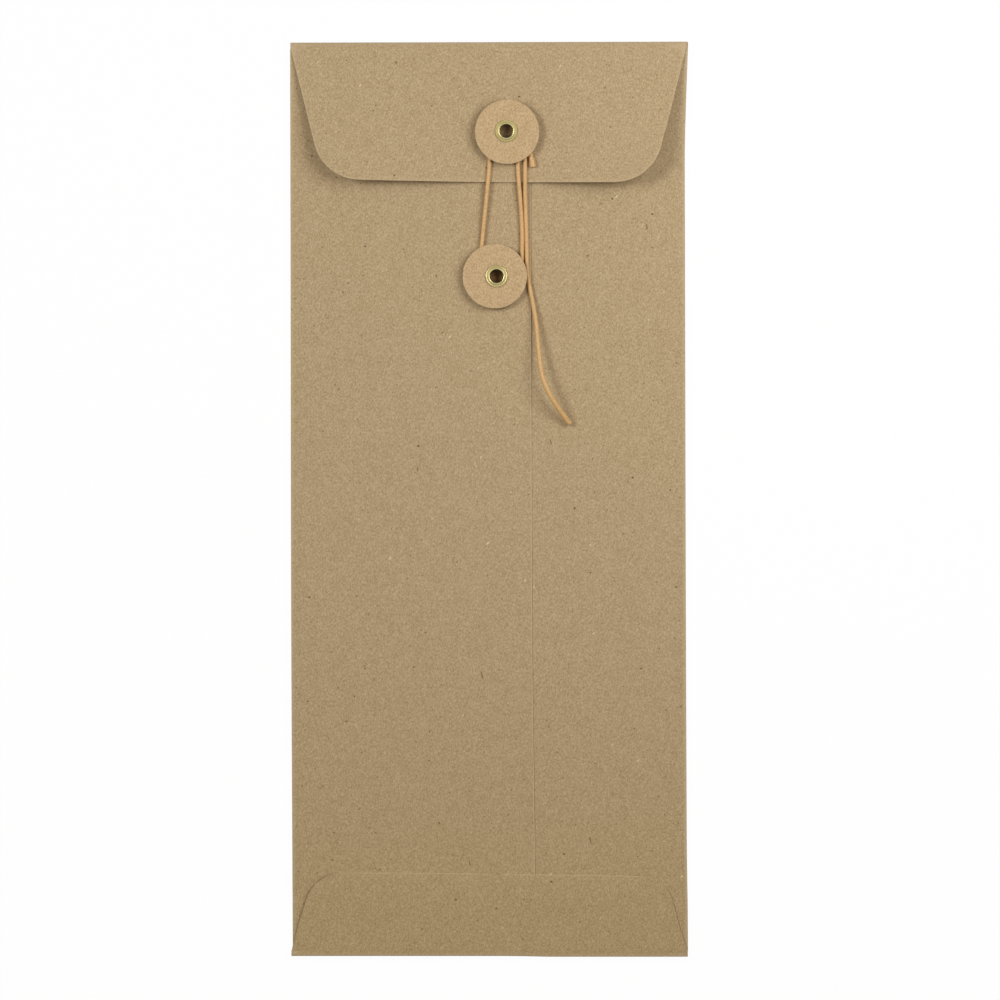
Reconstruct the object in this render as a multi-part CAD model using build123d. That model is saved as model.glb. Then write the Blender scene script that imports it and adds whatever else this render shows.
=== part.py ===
"""String tie envelope: a tall kraft pocket with a centre seam, a closure flap, two buttons and a string.

The envelope lies on its back. X runs across it, Y runs up to the fold of the closure flap, Z points out of the
front. The origin is the middle of the back face. All lengths are in millimetres, all angles in degrees.
"""

import math
import os

from build123d import *

# Sheet and pocket
PAPER = 0.35
ENVELOPE_HEIGHT = 241.3
FOLD_WIDTH = 104.8
SIDE_INSET = 0.35
POCKET_GAP = 0.8
GLUE = 0.1
GLUE_MARGIN = 0.9
MOUTH_DEPTH = 4.6
FOOT_CLEARANCE = 0.25

# Centre seam: the left panel lies over a strip of the right panel, which steps down under it
SEAM_X = 11.6
SEAM_OVERLAP = 6.0
STEP_RUN = 1.8
STEP_CLEARANCE = 0.2

# Closure flap at the top, glued flap at the bottom
FLAP_LENGTH = 37.15
FLAP_SIDE_ANGLE = 14.4
FLAP_CORNER_RADIUS = 10.8
FLAP_BOW = 0.7
FLAP_CLEARANCE = 0.2
BOTTOM_FLAP_LENGTH = 21.55
BOTTOM_FLAP_SIDE_ANGLE = 15.8
BOTTOM_FLAP_CORNER_RADIUS = 8.9
BOTTOM_FLAP_BOW = 0.2

# Eyelets, each a rolled brass tube with a domed flange in front and a clinch behind the paper
FLAP_EYELET_X = 4.92
FLAP_EYELET_DEPTH = 23.59
POCKET_EYELET_X = 2.24
EYELET_SPACING = 38.28
EYELET_BORE_RADIUS = 1.87
EYELET_WALL = 0.22
FLANGE_RADIUS = 3.0
FLANGE_HEIGHT = 0.45
CLINCH_RADIUS = 2.8
CLINCH_HEIGHT = 0.3
EYELET_HOLE_CLEARANCE = 0.03

# Buttons: board discs that turn on the eyelets, punched a little off centre
BUTTON_RADIUS = 8.5
BUTTON_THICKNESS = 0.9
FLAP_BUTTON_GAP = 2.8
POCKET_BUTTON_GAP = 1.35
BUTTON_RUNNING_CLEARANCE = 0.06
FLAP_BUTTON_SHIFT_X = 0.22
FLAP_BUTTON_SHIFT_Y = -0.22
POCKET_BUTTON_SHIFT_X = -0.45
POCKET_BUTTON_SHIFT_Y = -0.04

# String: hitched to the flap's eyelet, round the pocket's eyelet, back round the flap's, then loose
STRING = 0.95
STRING_CLEARANCE = 0.1
STRING_LAYER_GAP = 0.55
WRAP_RADIUS = 4.35
WRAP_SHIFT_X = 0.35
WRAP_SHIFT_Y = 0.14
LOOP_RADIUS = 5.35
LOOP_SHIFT_X = 0.89
LOOP_SHIFT_Y = -0.78
HITCH_CORNERS = 6
HALF_TURN_CORNERS = 4
BEND_SHARE = 0.45
GAP_STEP = 0.3
GAP_SKIP = 4.0

# Levels, counted up from the back face
tuck_under = PAPER + POCKET_GAP
tuck_top = tuck_under + PAPER
front_under = tuck_top + GLUE
front_top = front_under + PAPER
bottom_flap_under = front_top + GLUE
bottom_flap_top = bottom_flap_under + PAPER
flap_under = front_top + CLINCH_HEIGHT + FLAP_CLEARANCE
flap_top = flap_under + PAPER
on_front = front_top + STRING_CLEARANCE + STRING / 2
on_flap = flap_top + STRING_CLEARANCE + STRING / 2
over_strand = on_flap + STRING + STRING_LAYER_GAP

# Where the wound string ends and its loose tail begins, under the pocket button's rim
TAIL_START = (10.28, 62.05, on_front)

# Folds and edges: each fold is a half tube from the back face to the outer face of what it carries
side_fold_radius = front_top / 2
bottom_fold_radius = bottom_flap_top / 2
top_fold_radius = flap_top / 2
side_axis_x = FOLD_WIDTH / 2 - SIDE_INSET - side_fold_radius
bottom_axis_y = bottom_fold_radius - ENVELOPE_HEIGHT / 2
top_axis_y = ENVELOPE_HEIGHT / 2 - top_fold_radius
mouth_y = ENVELOPE_HEIGHT / 2 - MOUTH_DEPTH
foot_y = bottom_axis_y + FOOT_CLEARANCE
step_foot = SEAM_X + STEP_CLEARANCE
step_head = step_foot + STEP_RUN

# Eyelets, placed down from the crest of the top fold
eyelet_radius = EYELET_BORE_RADIUS + EYELET_WALL
flap_eyelet_y = ENVELOPE_HEIGHT / 2 - FLAP_EYELET_DEPTH
pocket_eyelet_y = flap_eyelet_y - EYELET_SPACING


def slab(x_low, x_high, y_low, y_high, z_low, thickness):
    """A flat sheet between two corners."""
    sheet = Rectangle(x_high - x_low, y_high - y_low, align=(Align.MIN, Align.MIN))
    return Pos(x_low, y_low, z_low) * extrude(sheet, thickness)


def eyelet_hole(x, y, radius, thickness, z_low):
    """The plug that is taken out of a sheet where an eyelet goes through it."""
    return Pos(x, y, z_low) * Cylinder(radius, thickness, align=(Align.CENTER, Align.CENTER, Align.MIN))


def half_ring(radius):
    """The section of a fold, one sheet thick, round on its left."""
    ring = Circle(radius) - Circle(radius - PAPER)
    return ring - Pos(radius, 0) * Rectangle(2 * radius, 2 * radius)


def tapered_flap(length, side_angle, corner_radius, bow):
    """A flap's outline: full width at its fold on the X axis, drawn in to a bowed edge at y = -length."""
    edge_y = bow - length
    edge_x = FOLD_WIDTH / 2 + edge_y * math.tan(math.radians(side_angle))
    fold_x = FOLD_WIDTH / 2
    sides = Polyline((edge_x, edge_y), (fold_x, 0), (-fold_x, 0), (-edge_x, edge_y))
    edge = ThreePointArc((-edge_x, edge_y), (0, -length), (edge_x, edge_y))
    outline = make_face(sides + edge)
    corners = outline.vertices().sort_by(Axis.Y)[:2]
    return fillet(corners, corner_radius)


def make_back_panel():
    """The back, with its ends out to the full width of the folds above and below the side folds."""
    fold_x = FOLD_WIDTH / 2
    middle = slab(-side_axis_x, side_axis_x, foot_y, mouth_y, 0, PAPER)
    head = slab(-fold_x, fold_x, mouth_y, top_axis_y, 0, PAPER)
    foot = slab(-fold_x, fold_x, bottom_axis_y, foot_y, 0, PAPER)
    return middle + head + foot


def make_left_panel():
    """The front panel on top at the seam, which carries the pocket's eyelet."""
    panel = slab(-side_axis_x, SEAM_X, foot_y, mouth_y, front_under, PAPER)
    hole_radius = eyelet_radius + EYELET_HOLE_CLEARANCE
    return panel - eyelet_hole(POCKET_EYELET_X, pocket_eyelet_y, hole_radius, PAPER, front_under)


def make_right_panel():
    """The flat part of the right front panel, from the head of the seam's step to the side fold."""
    return slab(step_head, side_axis_x, foot_y, mouth_y, front_under, PAPER)


def make_seam_tuck():
    """The right panel's seam edge, which steps down and tucks under the left panel."""
    tuck_edge = SEAM_X - SEAM_OVERLAP
    section = Polyline(
        (tuck_edge, tuck_under),
        (step_foot, tuck_under),
        (step_head, front_under),
        (step_head, front_top),
        (step_foot, tuck_top),
        (tuck_edge, tuck_top),
        close=True,
    )
    across = Plane.XZ.offset(-mouth_y)
    return extrude(across * make_face(section), mouth_y - foot_y)


def make_side_fold():
    """The left side fold; the right one is its mirror image."""
    across = Plane.XZ.offset(-mouth_y)
    section = Pos(-side_axis_x, side_fold_radius) * half_ring(side_fold_radius)
    return extrude(across * section, mouth_y - foot_y)


def make_cross_fold(axis_y, radius, way):
    """A fold along X; way is 1 where its round side faces down the sheet and -1 where it faces up."""
    section = half_ring(radius)
    if way < 0:
        section = mirror(section, Plane.YZ)
    along = Plane.YZ.offset(-FOLD_WIDTH / 2)
    return extrude(along * (Pos(axis_y, radius) * section), FOLD_WIDTH)


def make_seam_glue():
    """The strip of glue between the two front panels."""
    return slab(
        SEAM_X - SEAM_OVERLAP + GLUE_MARGIN,
        SEAM_X - GLUE_MARGIN,
        foot_y + GLUE_MARGIN,
        mouth_y - GLUE_MARGIN,
        tuck_top,
        GLUE,
    )


def bottom_flap_outline():
    length = BOTTOM_FLAP_LENGTH - bottom_fold_radius
    outline = tapered_flap(length, BOTTOM_FLAP_SIDE_ANGLE, BOTTOM_FLAP_CORNER_RADIUS, BOTTOM_FLAP_BOW)
    return Pos(0, bottom_axis_y) * mirror(outline, Plane.XZ)


def make_bottom_flap():
    """The flap that is folded up and glued over both front panels."""
    return Pos(0, 0, bottom_flap_under) * extrude(bottom_flap_outline(), PAPER)


def make_bottom_glue():
    """The film of glue under the bottom flap, kept in from its edges."""
    film = offset(bottom_flap_outline(), -GLUE_MARGIN)
    return Pos(0, 0, front_top) * extrude(film, GLUE)


def make_closure_flap():
    """The flap that closes the mouth and carries the upper eyelet."""
    length = FLAP_LENGTH - top_fold_radius
    outline = tapered_flap(length, FLAP_SIDE_ANGLE, FLAP_CORNER_RADIUS, FLAP_BOW)
    flap = Pos(0, top_axis_y, flap_under) * extrude(outline, PAPER)
    hole_radius = eyelet_radius + EYELET_HOLE_CLEARANCE
    return flap - eyelet_hole(FLAP_EYELET_X, flap_eyelet_y, hole_radius, PAPER, flap_under)


def make_eyelet(x, y, sheet_under, button_gap):
    """A brass eyelet: bore, domed flange on its button, clinch under its sheet."""
    flange_seat = sheet_under + PAPER + button_gap + BUTTON_THICKNESS + BUTTON_RUNNING_CLEARANCE
    flange_crest = (EYELET_BORE_RADIUS + FLANGE_RADIUS) / 2
    clinch_crest = (EYELET_BORE_RADIUS + CLINCH_RADIUS) / 2
    bore_foot = (EYELET_BORE_RADIUS, sheet_under)
    bore_head = (EYELET_BORE_RADIUS, flange_seat)
    flange_edge = (FLANGE_RADIUS, flange_seat)
    clinch_edge = (CLINCH_RADIUS, sheet_under)
    outer_side = Polyline(flange_edge, (eyelet_radius, flange_seat), (eyelet_radius, sheet_under), clinch_edge)
    section = (
        Line(bore_foot, bore_head)
        + ThreePointArc(bore_head, (flange_crest, flange_seat + FLANGE_HEIGHT), flange_edge)
        + outer_side
        + ThreePointArc(clinch_edge, (clinch_crest, sheet_under - CLINCH_HEIGHT), bore_foot)
    )
    return Pos(x, y, 0) * revolve(Plane.XZ * make_face(section), Axis.Z)


def make_button(x, y, shift_x, shift_y, sheet_under, button_gap):
    """A board disc on its eyelet, with the gap under it that the string winds in."""
    disc = Pos(shift_x, shift_y) * Circle(BUTTON_RADIUS)
    disc -= Circle(eyelet_radius + BUTTON_RUNNING_CLEARANCE)
    return Pos(x, y, sheet_under + PAPER + button_gap) * extrude(disc, BUTTON_THICKNESS)


def turn(x, y, radius, start_angle, end_angle, z_start, z_end, corners):
    """Corner points of a cord's turn round (x, y): a polygon whose sides touch the circle of that radius."""
    step = (end_angle - start_angle) / corners
    reach = radius / math.cos(math.radians(step / 2))
    points = []
    for i in range(corners):
        angle = math.radians(start_angle + step * (i + 1 / 2))
        z = z_start + (z_end - z_start) * i / (corners - 1)
        points.append((x + reach * math.cos(angle), y + reach * math.sin(angle), z))
    return points


def below_fold(points):
    """Route points given as x, depth below the crest of the top fold, and z."""
    return [(x, ENVELOPE_HEIGHT / 2 - depth, z) for x, depth, z in points]


def string_winding_points():
    """From the cut end, round the flap's eyelet, down and round the pocket's, up round the flap's, down again."""
    hitch_radius = eyelet_radius + STRING_CLEARANCE + STRING / 2
    wrap_x = FLAP_EYELET_X + WRAP_SHIFT_X
    wrap_y = flap_eyelet_y + WRAP_SHIFT_Y
    loop_x = POCKET_EYELET_X + LOOP_SHIFT_X
    loop_y = pocket_eyelet_y + LOOP_SHIFT_Y
    cut_end = [
        (12.06, 32.95, on_flap),
        (11.91, 28.75, on_flap + STRING / 2),
        (9.6, 26.4, over_strand + STRING_CLEARANCE),
    ]
    hitch = turn(FLAP_EYELET_X, flap_eyelet_y, hitch_radius, -90, -360, over_strand, on_flap, HITCH_CORNERS)
    first_strand = [(8.2, 39.45, on_flap), (8.9, 55.25, on_front)]
    loop = turn(loop_x, loop_y, LOOP_RADIUS, 0, -180, on_front, on_front, HALF_TURN_CORNERS)
    left_strand = [(-1.75, 55.65, on_front), (0.16, 38.65, on_flap)]
    wrap = turn(wrap_x, wrap_y, WRAP_RADIUS, 180, 0, on_flap, on_flap, HALF_TURN_CORNERS)
    second_strand = [(9.94, 39.05, on_flap), (10.3, 55.45, on_front), (10.07, 59.65, on_front), TAIL_START]
    return (
        below_fold(cut_end)
        + hitch
        + below_fold(first_strand)
        + loop
        + below_fold(left_strand)
        + wrap
        + below_fold(second_strand)
    )


def string_tail_points():
    """The loose end, which arches off the paper and comes down again at its tip."""
    tail = [
        TAIL_START,
        (10.5, 64.45, on_front),
        (11.46, 68.45, on_front + STRING_CLEARANCE),
        (12.45, 73.65, on_front + STRING),
        (13.13, 79.05, on_front + STRING + STRING_LAYER_GAP),
        (13.66, 84.25, on_front + 2 * STRING),
        (14.65, 88.85, on_front + 2 * STRING),
        (16.29, 92.85, on_front + STRING + STRING_CLEARANCE),
        (18.67, 96.85, on_front + STRING / 2),
        (21.46, 100.85, on_front),
    ]
    return below_fold(tail)


def cord_path(points):
    """Straight runs joined by tangent arcs, each as large as its two runs allow; returns the path and the radii."""
    corners = [Vector(*point) for point in points]
    radii = []
    for before, here, after in zip(corners, corners[1:], corners[2:]):
        half_turn = math.radians((here - before).get_angle(after - here)) / 2
        shorter = min((here - before).length, (after - here).length)
        radii.append(BEND_SHARE * shorter / math.tan(half_turn))
    return FilletPolyline(*corners, radius=radii), radii


def least_gap(path):
    """The least distance between stretches of a cord that aren't neighbours along it, less the cord itself."""
    wire = path.wire()
    count = math.ceil(wire.length / GAP_STEP)
    spots = [wire.position_at(i / count) for i in range(count + 1)]
    skip = math.ceil(GAP_SKIP / GAP_STEP)
    return min(
        (first - second).length
        for i, first in enumerate(spots)
        for second in spots[i + skip :]
    ) - STRING


def make_string(name, points):
    """A round cord along its route, with its radii, its least gap to itself and its volume printed."""
    path, radii = cord_path(points)
    section = Plane(origin=path @ 0, z_dir=path % 0) * Circle(STRING / 2)
    tube = sweep(section, path=path)
    plain_volume = math.pi * (STRING / 2) ** 2 * path.wire().length
    print(name, "length", round(path.wire().length, 1), "radii", [round(radius, 1) for radius in radii])
    print(name, "least gap", round(least_gap(path), 2), "volume share", round(tube.volume / plain_volume, 4))
    return tube


def make_parts():
    left_fold = make_side_fold()
    return {
        "back_panel": make_back_panel(),
        "left_panel": make_left_panel(),
        "right_panel": make_right_panel(),
        "seam_tuck": make_seam_tuck(),
        "bottom_flap": make_bottom_flap(),
        "closure_flap": make_closure_flap(),
        "left_fold": left_fold,
        "right_fold": mirror(left_fold, Plane.YZ),
        "bottom_fold": make_cross_fold(bottom_axis_y, bottom_fold_radius, 1),
        "top_fold": make_cross_fold(top_axis_y, top_fold_radius, -1),
        "seam_glue": make_seam_glue(),
        "bottom_glue": make_bottom_glue(),
        "flap_eyelet": make_eyelet(FLAP_EYELET_X, flap_eyelet_y, flap_under, FLAP_BUTTON_GAP),
        "pocket_eyelet": make_eyelet(POCKET_EYELET_X, pocket_eyelet_y, front_under, POCKET_BUTTON_GAP),
        "flap_button": make_button(
            FLAP_EYELET_X,
            flap_eyelet_y,
            FLAP_BUTTON_SHIFT_X,
            FLAP_BUTTON_SHIFT_Y,
            flap_under,
            FLAP_BUTTON_GAP,
        ),
        "pocket_button": make_button(
            POCKET_EYELET_X,
            pocket_eyelet_y,
            POCKET_BUTTON_SHIFT_X,
            POCKET_BUTTON_SHIFT_Y,
            front_under,
            POCKET_BUTTON_GAP,
        ),
        "string_winding": make_string("string_winding", string_winding_points()),
        "string_tail": make_string("string_tail", string_tail_points()),
    }


os.makedirs("parts", exist_ok=True)
for node, shape in make_parts().items():
    export_step(shape, f"parts/{node}.step")
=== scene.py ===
"""String tie envelope: kraft sheets, board buttons, brass eyelets and a waxed string, in the part's frame."""

import math

import bmesh
import bpy
from mathutils import Matrix, Vector
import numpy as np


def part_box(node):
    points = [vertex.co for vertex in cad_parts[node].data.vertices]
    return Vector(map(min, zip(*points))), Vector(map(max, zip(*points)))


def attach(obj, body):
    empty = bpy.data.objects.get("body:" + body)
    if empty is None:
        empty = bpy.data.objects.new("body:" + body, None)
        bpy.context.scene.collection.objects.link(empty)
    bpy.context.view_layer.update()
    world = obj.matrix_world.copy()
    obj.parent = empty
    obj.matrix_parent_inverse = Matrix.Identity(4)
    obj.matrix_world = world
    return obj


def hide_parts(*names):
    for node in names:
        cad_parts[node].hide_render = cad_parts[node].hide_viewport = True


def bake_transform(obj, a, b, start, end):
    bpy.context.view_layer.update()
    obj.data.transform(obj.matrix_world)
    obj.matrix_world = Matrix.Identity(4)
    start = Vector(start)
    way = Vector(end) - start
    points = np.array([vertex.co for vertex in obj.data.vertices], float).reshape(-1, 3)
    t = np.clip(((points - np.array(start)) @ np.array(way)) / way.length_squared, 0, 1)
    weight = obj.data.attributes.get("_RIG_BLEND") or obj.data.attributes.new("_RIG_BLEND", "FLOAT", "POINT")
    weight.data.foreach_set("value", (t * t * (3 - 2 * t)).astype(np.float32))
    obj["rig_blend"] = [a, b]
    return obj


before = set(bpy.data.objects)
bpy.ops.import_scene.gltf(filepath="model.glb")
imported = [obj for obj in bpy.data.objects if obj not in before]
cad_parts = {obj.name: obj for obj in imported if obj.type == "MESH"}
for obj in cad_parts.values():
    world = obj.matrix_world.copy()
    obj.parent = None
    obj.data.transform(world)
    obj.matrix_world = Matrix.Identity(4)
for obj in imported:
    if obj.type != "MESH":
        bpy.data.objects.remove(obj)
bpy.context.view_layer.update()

MM = 0.001
UP = Vector((0, 0, 1))
ACROSS = Vector((1, 0, 0))
ALONG = Vector((0, 1, 0))

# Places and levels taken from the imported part
back_low, back_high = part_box("back_panel")
left_low, left_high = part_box("left_panel")
right_low, right_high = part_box("right_panel")
tuck_low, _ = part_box("seam_tuck")
bottom_low, bottom_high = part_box("bottom_flap")
flap_low, flap_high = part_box("closure_flap")
_, fold_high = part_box("top_fold")
_, side_fold_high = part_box("right_fold")
paper = back_high.z - back_low.z
side_x = side_fold_high.x
foot_y = left_low.y
mouth_y = left_high.y
seam_x = left_high.x
side_axis_x = right_high.x
step_head = right_low.x
top_axis_y = flap_high.y
bottom_axis_y = bottom_low.y
front_top = left_high.z
bottom_flap_top = bottom_high.z
flap_top = flap_high.z
fold_crest_y = fold_high.y

# Camera over the sheet, and the lamps; places in metres, powers in watts
LENS = 800.0
SENSOR = 36.0
PICTURE_WIDTH = 263.95 * MM
PICTURE_CENTRE = Vector((2.98 * MM, -0.29 * MM, 2 * MM))
CAMERA_ROLL = math.radians(-0.18)
LAMPS = (
    ("left_soft_box", Vector((-0.40, 0.175, 0.55)), 0.22, 2.12),
    ("right_soft_box", Vector((0.21, 0.145, 0.30)), 0.22, 0.83),
)
LAMP_AIM = Vector((0, 0.02, 0))
ROOM_LIGHT = 0.245
ROOM_TINT = "#FFF3E6"
FLOOR_GLOW = 0.97
FLOOR_REACH = 1.6
FLOOR_DROP = 0.02 * MM

# Sheets: how they are cut and joined
JOIN_STRIP = 0.475 * MM
CUT_EDGE = 0.35 * MM
CUT_DROP = 0.05 * MM
FOLD_STEPS = 8
FOLD_SHARPNESS = 0.15
FOLD_CREASE_SHARE = 0.25
FOLD_WEAR = 0.3
# The right side fold is drawn paler towards its foot
RIGHT_FOLD_FOOT_PALE = 0.22
FOLD_FOOT_PALE_Y = (60 * MM, -90 * MM)
# Cut edges are drawn pale: their light torn fibres, with a painted highlight where the cut catches light
CUT_PALE = 0.7
CRISP_ANGLE = math.radians(50)
SHEET_CELL = 6 * MM
HOLE_FIELD_SHARE = 0.8
HOLE_SIDES = 24
CORNER_SEGMENTS = 8
MERGE_DISTANCE = 0.0001 * MM
STEP_CLEARANCE = 0.02 * MM
STEP_FACE_RUN = 0.03 * MM
STEP_FACE_DROP = 0.23 * MM
SEAM_SHIFT = -0.22 * MM
LEFT_BEND_END = -8 * MM
RIGHT_BEND_END = 14 * MM

# Closure flap: its cut, its small turn on the fold, and its sprung corners
FLAP_HALF_WIDTH = 52.28 * MM
FLAP_SIDE_ANGLE = math.radians(14.2)
FLAP_CORNER_RADIUS = 11.6 * MM
FLAP_BOW = 0.5 * MM
FLAP_TRIM = 0.13 * MM
FLAP_TURN = math.radians(0.72)
FLAP_SHIFT = 0.27 * MM
FOLD_CREST_SHARE = 1.5
FOLD_OVERHANG = 0.2 * MM
FOLD_SHIFT = 0.24 * MM
FOLD_DROP = 0.06 * MM
FOLD_SLOPE = 0.00085
LEFT_LIFT = 5.8 * MM
RIGHT_LIFT = 9.0 * MM
LIFT_START_LEFT = 8 * MM
LIFT_START_RIGHT = 15 * MM
LIFT_START_DEPTH = 3 * MM
LIFT_CURVE = 1.2
EDGE_CURL = 1.9 * MM
EDGE_CURL_REACH = 15 * MM
STRING_HOLD_X = 5 * MM
STRING_HOLD_REACH = (6 * MM, 15 * MM)
# The flap's cut edge is drawn pale: light fibres with a painted highlight
FLAP_PALE_SHARE = 0.35
FLAP_SMOOTHING = 2

# Bottom flap
BOTTOM_HALF_WIDTH = 52.2 * MM
BOTTOM_SIDE_ANGLE = math.radians(15.8)
BOTTOM_CORNER_RADIUS = 8.9 * MM
BOTTOM_BOW = 0.2 * MM
BOTTOM_TURN = math.radians(0.9)
BOTTOM_SHIFT = -0.2 * MM
BOTTOM_SKEW = -0.5 * MM
BOTTOM_SQUARE = 0.5 * MM
BOTTOM_SQUARE_REACH = 5 * MM
BOTTOM_RAISE = 0.18 * MM
BOTTOM_MIDDLE = 3 * MM
# Its cut edge: pale along its top, light fibres with a painted highlight; painted shade along its left, where
# the edge stands off the panel; barely pale on its right
BOTTOM_PALE_SHARE = 0.45
BOTTOM_SHADE_X = (36 * MM, 44 * MM)
BOTTOM_SHADE_Y = (-117 * MM, -111 * MM)
BOTTOM_SHADE_RIGHT = 0.4

# How far the folded blank is out of square: its right side opens at the top and the foot, and its bottom fold
# slopes
FLARE_INNER_X = 20 * MM
TOP_FLARE = 1.0 * MM
TOP_FLARE_START_Y = 91 * MM
TOP_FLARE_CURVE = 1.25
FOOT_FLARE = 0.2 * MM
FOOT_FLARE_Y = (-112 * MM, -90 * MM)
FOOT_SLOPE = 0.00314
FOOT_STEP = 0.194 * MM
FOOT_STEP_X = (6 * MM, 14 * MM)
FOOT_REACH = 12 * MM
SIDE_BOW = 0.14 * MM
SIDE_SWELL = 0.05 * MM
SIDE_BOW_Y = -25 * MM
SIDE_BOW_REACH = 80 * MM

# Shoulders: at the side folds the front reaches up to the top fold and lies against the flap
SHOULDER_X = (42 * MM, 50 * MM)
SHOULDER_Y = (104 * MM, 115 * MM)
SHOULDER_RISE = 0.48 * MM
SHOULDER_TUCK = 0.95 * MM
SHOULDER_TUCK_SINK_SHARE = 0.28

# Seam: its free edge stands off the panel below, under the string's tail
SEAM_LIFT = 0.2 * MM
SEAM_LIFT_Y = 41 * MM
SEAM_LIFT_REACH = 12 * MM
SEAM_LIFT_WIDTH = 7 * MM
SEAM_BEND = 0.6 * MM
SEAM_BEND_Y = (-30 * MM, -110 * MM)
SEAM_BEND_WIDTH = 15 * MM

# Buttons: the upper one is set down on the string that it presses
BUTTON_SIDES = 96
BUTTON_RINGS = 9
BUTTON_DISH = 0.07 * MM
BUTTON_DISH_REACH = 2.6 * MM
BUTTON_EDGE = 0.14 * MM
BUTTON_EDGE_SEGMENTS = 3
BUTTON_CORNER_ANGLE = math.radians(60)
BUTTON_PALE_SHARE = 0.15
UPPER_SET_DOWN = 1.0 * MM

# Eyelets: radii, and how far the lower one's rim stands up
EYELET_STEPS = 72
EYELET_BORE = 1.74 * MM
EYELET_TUBE = 2.09 * MM
EYELET_RUNNING_CLEARANCE = 0.06 * MM
EYELET_RIM = 2.65 * MM
LOWER_RIM_RISE = 0.1 * MM
CLINCH_RADIUS = 2.8 * MM

# An eyelet's front from its bore out, over its lip and rim and back to its tube: each point's radius, its depth
# below the crest, and its share of the rim's rise
EYELET_FRONT = (
    (EYELET_BORE, 0.34 * MM, 0.0),
    (1.79 * MM, 0.11 * MM, 0.0),
    (1.99 * MM, 0.0, 0.0),
    (2.20 * MM, 0.06 * MM, 0.0),
    (2.40 * MM, 0.21 * MM, 0.0),
    (2.56 * MM, 0.24 * MM, 0.0),
    (2.74 * MM, 0.21 * MM, 1.0),
    (2.90 * MM, 0.26 * MM, 0.5),
    (2.97 * MM, 0.36 * MM, 0.0),
    (2.93 * MM, 0.45 * MM, 0.0),
    (EYELET_TUBE, 0.45 * MM, 0.0),
)

# Its clinch behind the paper, from the outside in: each point's radius and its height above the lowest
EYELET_CLINCH = ((2.70 * MM, 0.08 * MM), (2.33 * MM, 0.0), (1.90 * MM, 0.08 * MM))

# String: as thick as it is packed, for its levels, and as thick as it shows
STRING = 0.95 * MM
STRING_SHOWN = 1.14 * MM
STRING_CLEARANCE = 0.1 * MM
STRING_LAYER_GAP = 0.55 * MM
WRAP_RADIUS = 4.35 * MM
WRAP_SHIFT = Vector((0.35 * MM, 0.14 * MM, 0))
LOOP_RADIUS = 5.35 * MM
LOOP_SHIFT = Vector((0.89 * MM, -0.78 * MM, 0))
HITCH_CORNERS = 6
HALF_TURN_CORNERS = 4
TAIL_ARCH = 4.0 * MM
STRING_BEND_START = 86 * MM
STRING_BEND_END = 15 * MM
STRING_SIDES = 18
STRING_STEP = 0.16 * MM
SPLINE_STEPS = 24
PLIES = 3
PLY_PITCH = 3.4 * MM
PLY_DEPTH_SHARE = 0.03
HITCH_FRAY = (4.5 * MM, 0.45)
TAIL_FRAY = (26 * MM, 0.3)

# Fibre stock, its pattern sizes in millimetres. Real fibres are a few hundredths wide, too fine to show, so the
# grain and the specks are drawn as coarse as they need to show
GRAIN_SIZE = 0.34
GRAIN_STRETCH = (1.0, 1.55, 1.0)
GRAIN_TILT = (0.5, 0.35, 0.0)
GRAIN_DEPTH = 0.03 * MM
GRAIN_RELIEF_SHARE = 0.3
FELT_SIZE = 2.2
FELT_SHARE = 0.15
TONE_DARK = 0.24
TONE_MIDDLE = 0.57
TONE_LIGHT = 0.90
# Painted light: towards its foot the paper is tinted a little warmer, for the colour that the light has there
FOOT_LIGHT_TINT = "#FFFDF2"
FOOT_LIGHT_TINT_Y = (-50 * MM, -115 * MM)
# Painted shade along a cut edge that stands off the sheet below
EDGE_SHADE_TINT = "#5A462B"
# Painted shade on the paper that each eyelet's bore shows: its full and outer radius, and its tint
HOLE_SHADE_REACH = (1.5 * MM, 2.1 * MM)
HOLE_SHADE_TINTS = {"flap_eyelet": "#F9EDDA", "pocket_eyelet": "#F2DAB5"}

# Bark specks, small specks, dark hairs and bleached flecks: spacing and size in millimetres, the share kept,
# the turn, how long each speck is drawn out, the shift of the pattern, the tint and its strength
SPECK_LAYERS = (
    (8.5, 0.31, 0.45, 0.4, 1.3, 0.0, "#54402A", 0.8),
    (3.2, 0.27, 0.55, -0.6, 1.4, 37.0, "#6F5A3C", 0.6),
    (10.0, 0.24, 0.50, 1.3, 5.0, 11.0, "#5F4C33", 0.65),
    (7.5, 0.26, 0.50, -0.9, 2.5, 71.0, "#E2D2AE", 0.7),
)
SPECK_RIM_SHARE = 0.35

# Brass, cord and glue: pattern sizes in millimetres, the cord's fluff again drawn coarse enough to show
SMEAR_SIZE = 0.8
DULL_ROUGHNESS = 0.62
RUBBED_ROUGHNESS = 0.22
FLUFF_SIZE = 0.5
GROOVE_SHADE = -0.12
CORD_DARK = 0.05
CORD_MIDDLE = 0.42
CORD_LIGHT = 0.75
GLUE_CLOUD_SIZE = 2.5


def middle_of(node):
    """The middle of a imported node's box."""
    return sum(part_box(node), Vector()) / 2


# Nodes and materials


def linear(hex_colour):
    """An sRGB hex colour as linear RGBA."""
    channels = [int(hex_colour[i : i + 2], 16) / 255 for i in (1, 3, 5)]
    return [c / 12.92 if c <= 0.04045 else ((c + 0.055) / 1.055) ** 2.4 for c in channels] + [1.0]


def add(tree, kind, inputs, **settings):
    """Adds a node with its settings; inputs are values, or the sockets that feed them."""
    made = tree.nodes.new(kind)
    for name, value in settings.items():
        setattr(made, name, value)
    for name, value in inputs.items():
        if isinstance(value, bpy.types.NodeSocket):
            tree.links.new(value, made.inputs[name])
        else:
            made.inputs[name].default_value = value
    return made


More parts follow.
